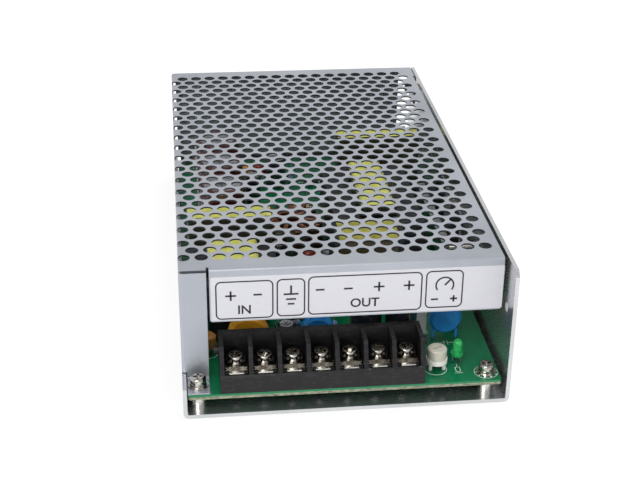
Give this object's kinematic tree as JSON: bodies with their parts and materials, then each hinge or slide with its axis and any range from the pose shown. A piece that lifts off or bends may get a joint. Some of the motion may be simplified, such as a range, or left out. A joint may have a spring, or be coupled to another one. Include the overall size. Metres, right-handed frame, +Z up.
{
  "type": "enclosed switching power supply with a perforated cover",
  "caption": "Enclosed switching power supply: folded aluminium chassis, perforated cover, front row of screw terminals, output trimmer and status lamp.",
  "frame": {"origin": "centre of the base, on its underside", "axes": "+X to the right along the terminals as seen from the front, +Y from the terminals to the back, +Z up"},
  "size_m": [0.099, 0.179, 0.045],
  "materials": {
    "bright_aluminium": "bright rolled sheet, fine grain",
    "zinc_sheet": "satin blue grey perforated sheet",
    "nickel_steel": "bright nickel plate",
    "nickel_brass": "nickel plated brass",
    "solder": "bright solder",
    "board_laminate": "green solder mask over glass laminate",
    "black_moulding": "black thermoset moulding",
    "white_moulding": "white moulding",
    "ivory_moulding": "ivory moulding",
    "green_lens": "tinted clear epoxy",
    "tinned_lead": "tinned wire",
    "blue_lacquer": "dipped lacquer",
    "amber_lacquer": "dipped lacquer",
    "grey_moulding": "grey moulding",
    "can_aluminium": "drawn can",
    "brown_sleeve": "shrunk sleeve",
    "black_sleeve": "shrunk sleeve",
    "yellow_tape": "polyester tape",
    "olive_tape": "polyester tape",
    "ferrite": "sintered ferrite",
    "green_core": "coated powder core",
    "copper_wire": "enamelled copper wire",
    "black_epoxy": "moulded epoxy",
    "silicone_pad": "filled silicone sheet",
    "brown_fuse": "moulded fuse body"
  },
  "bodies": {
    "case": {"chassis": "bright_aluminium", "cover": "zinc_sheet", "cover_screws": "nickel_steel", "main_board": "board_laminate", "board_standoffs": "nickel_brass", "board_screws": "nickel_steel", "board_spring_washers": "nickel_steel", "board_flat_washers": "nickel_steel", "solder_joints": "solder", "terminal_block": "black_moulding", "terminal_plates": "nickel_brass", "trimmer_base": "white_moulding", "led_lens": "green_lens", "led_leads": "tinned_lead", "left_disc_capacitor": "blue_lacquer", "right_disc_capacitor": "blue_lacquer", "surge_varistor": "amber_lacquer", "grey_film_capacitor": "grey_moulding", "bulk_capacitor_1": "can_aluminium", "bulk_capacitor_2": "can_aluminium", "bulk_capacitor_3": "can_aluminium", "bulk_sleeve_1": "brown_sleeve", "bulk_sleeve_2": "brown_sleeve", "bulk_sleeve_3": "brown_sleeve", "output_capacitor_1": "black_sleeve", "output_capacitor_2": "black_sleeve", "input_film_capacitor": "yellow_tape", "output_film_capacitor": "yellow_tape", "input_choke_core": "ferrite", "input_choke_bobbin": "black_moulding", "input_choke_winding": "yellow_tape", "transformer_core": "ferrite", "transformer_bobbin": "black_moulding", "transformer_winding": "yellow_tape", "output_choke_core": "ferrite", "output_choke_winding": "olive_tape", "toroid_core": "green_core", "toroid_winding": "copper_wire", "switch_transistor": "black_epoxy", "output_rectifier": "black_epoxy", "insulating_pad": "silicone_pad", "clamp_bar": "bright_aluminium", "clamp_bar_screws": "nickel_steel", "control_ic": "black_epoxy", "fuse": "brown_fuse"},
    "clamp_1": {"clamp_plate_1": "nickel_steel"},
    "clamp_2": {"clamp_plate_2": "nickel_steel"},
    "clamp_3": {"clamp_plate_3": "nickel_steel"},
    "clamp_4": {"clamp_plate_4": "nickel_steel"},
    "clamp_5": {"clamp_plate_5": "nickel_steel"},
    "clamp_6": {"clamp_plate_6": "nickel_steel"},
    "clamp_7": {"clamp_plate_7": "nickel_steel"},
    "screw_1": {"terminal_screw_1": "nickel_steel"},
    "screw_2": {"terminal_screw_2": "nickel_steel"},
    "screw_3": {"terminal_screw_3": "nickel_steel"},
    "screw_4": {"terminal_screw_4": "nickel_steel"},
    "screw_5": {"terminal_screw_5": "nickel_steel"},
    "screw_6": {"terminal_screw_6": "nickel_steel"},
    "screw_7": {"terminal_screw_7": "nickel_steel"},
    "trimmer": {"trimmer_knob": "ivory_moulding"}
  },
  "joints": [
    {"name": "clamp_1_lift", "type": "slide", "parent": "case", "child": "clamp_1", "axis": [0, 0, 1], "range_m": [0, 0.002]},
    {"name": "screw_1_turn", "type": "hinge", "parent": "clamp_1", "child": "screw_1", "pos_m": [-0.03335, -0.0819, 0.015], "axis": [0, 0, 1], "range_deg": [0, 1440]},
    {"name": "clamp_2_lift", "type": "slide", "parent": "case", "child": "clamp_2", "axis": [0, 0, 1], "range_m": [0, 0.002]},
    {"name": "screw_2_turn", "type": "hinge", "parent": "clamp_2", "child": "screw_2", "pos_m": [-0.02475, -0.0819, 0.015], "axis": [0, 0, 1], "range_deg": [0, 1440]},
    {"name": "clamp_3_lift", "type": "slide", "parent": "case", "child": "clamp_3", "axis": [0, 0, 1], "range_m": [0, 0.002]},
    {"name": "screw_3_turn", "type": "hinge", "parent": "clamp_3", "child": "screw_3", "pos_m": [-0.01615, -0.0819, 0.015], "axis": [0, 0, 1], "range_deg": [0, 1440]},
    {"name": "clamp_4_lift", "type": "slide", "parent": "case", "child": "clamp_4", "axis": [0, 0, 1], "range_m": [0, 0.002]},
    {"name": "screw_4_turn", "type": "hinge", "parent": "clamp_4", "child": "screw_4", "pos_m": [-0.00755, -0.0819, 0.015], "axis": [0, 0, 1], "range_deg": [0, 1440]},
    {"name": "clamp_5_lift", "type": "slide", "parent": "case", "child": "clamp_5", "axis": [0, 0, 1], "range_m": [0, 0.002]},
    {"name": "screw_5_turn", "type": "hinge", "parent": "clamp_5", "child": "screw_5", "pos_m": [0.00105, -0.0819, 0.015], "axis": [0, 0, 1], "range_deg": [0, 1440]},
    {"name": "clamp_6_lift", "type": "slide", "parent": "case", "child": "clamp_6", "axis": [0, 0, 1], "range_m": [0, 0.002]},
    {"name": "screw_6_turn", "type": "hinge", "parent": "clamp_6", "child": "screw_6", "pos_m": [0.00965, -0.0819, 0.015], "axis": [0, 0, 1], "range_deg": [0, 1440]},
    {"name": "clamp_7_lift", "type": "slide", "parent": "case", "child": "clamp_7", "axis": [0, 0, 1], "range_m": [0, 0.002]},
    {"name": "screw_7_turn", "type": "hinge", "parent": "clamp_7", "child": "screw_7", "pos_m": [0.01825, -0.0819, 0.015], "axis": [0, 0, 1], "range_deg": [0, 1440]},
    {"name": "trimmer_turn", "type": "hinge", "parent": "case", "child": "trimmer", "pos_m": [0.0283, -0.0803, 0.013], "axis": [0, 0, 1], "range_deg": [-130, 130]}
  ],
  "couplings": [
    {"joint": "screw_1_turn", "follows": "clamp_1_lift", "rad_per_m": 12566},
    {"joint": "screw_2_turn", "follows": "clamp_2_lift", "rad_per_m": 12566},
    {"joint": "screw_3_turn", "follows": "clamp_3_lift", "rad_per_m": 12566},
    {"joint": "screw_4_turn", "follows": "clamp_4_lift", "rad_per_m": 12566},
    {"joint": "screw_5_turn", "follows": "clamp_5_lift", "rad_per_m": 12566},
    {"joint": "screw_6_turn", "follows": "clamp_6_lift", "rad_per_m": 12566},
    {"joint": "screw_7_turn", "follows": "clamp_7_lift", "rad_per_m": 12566}
  ]
}
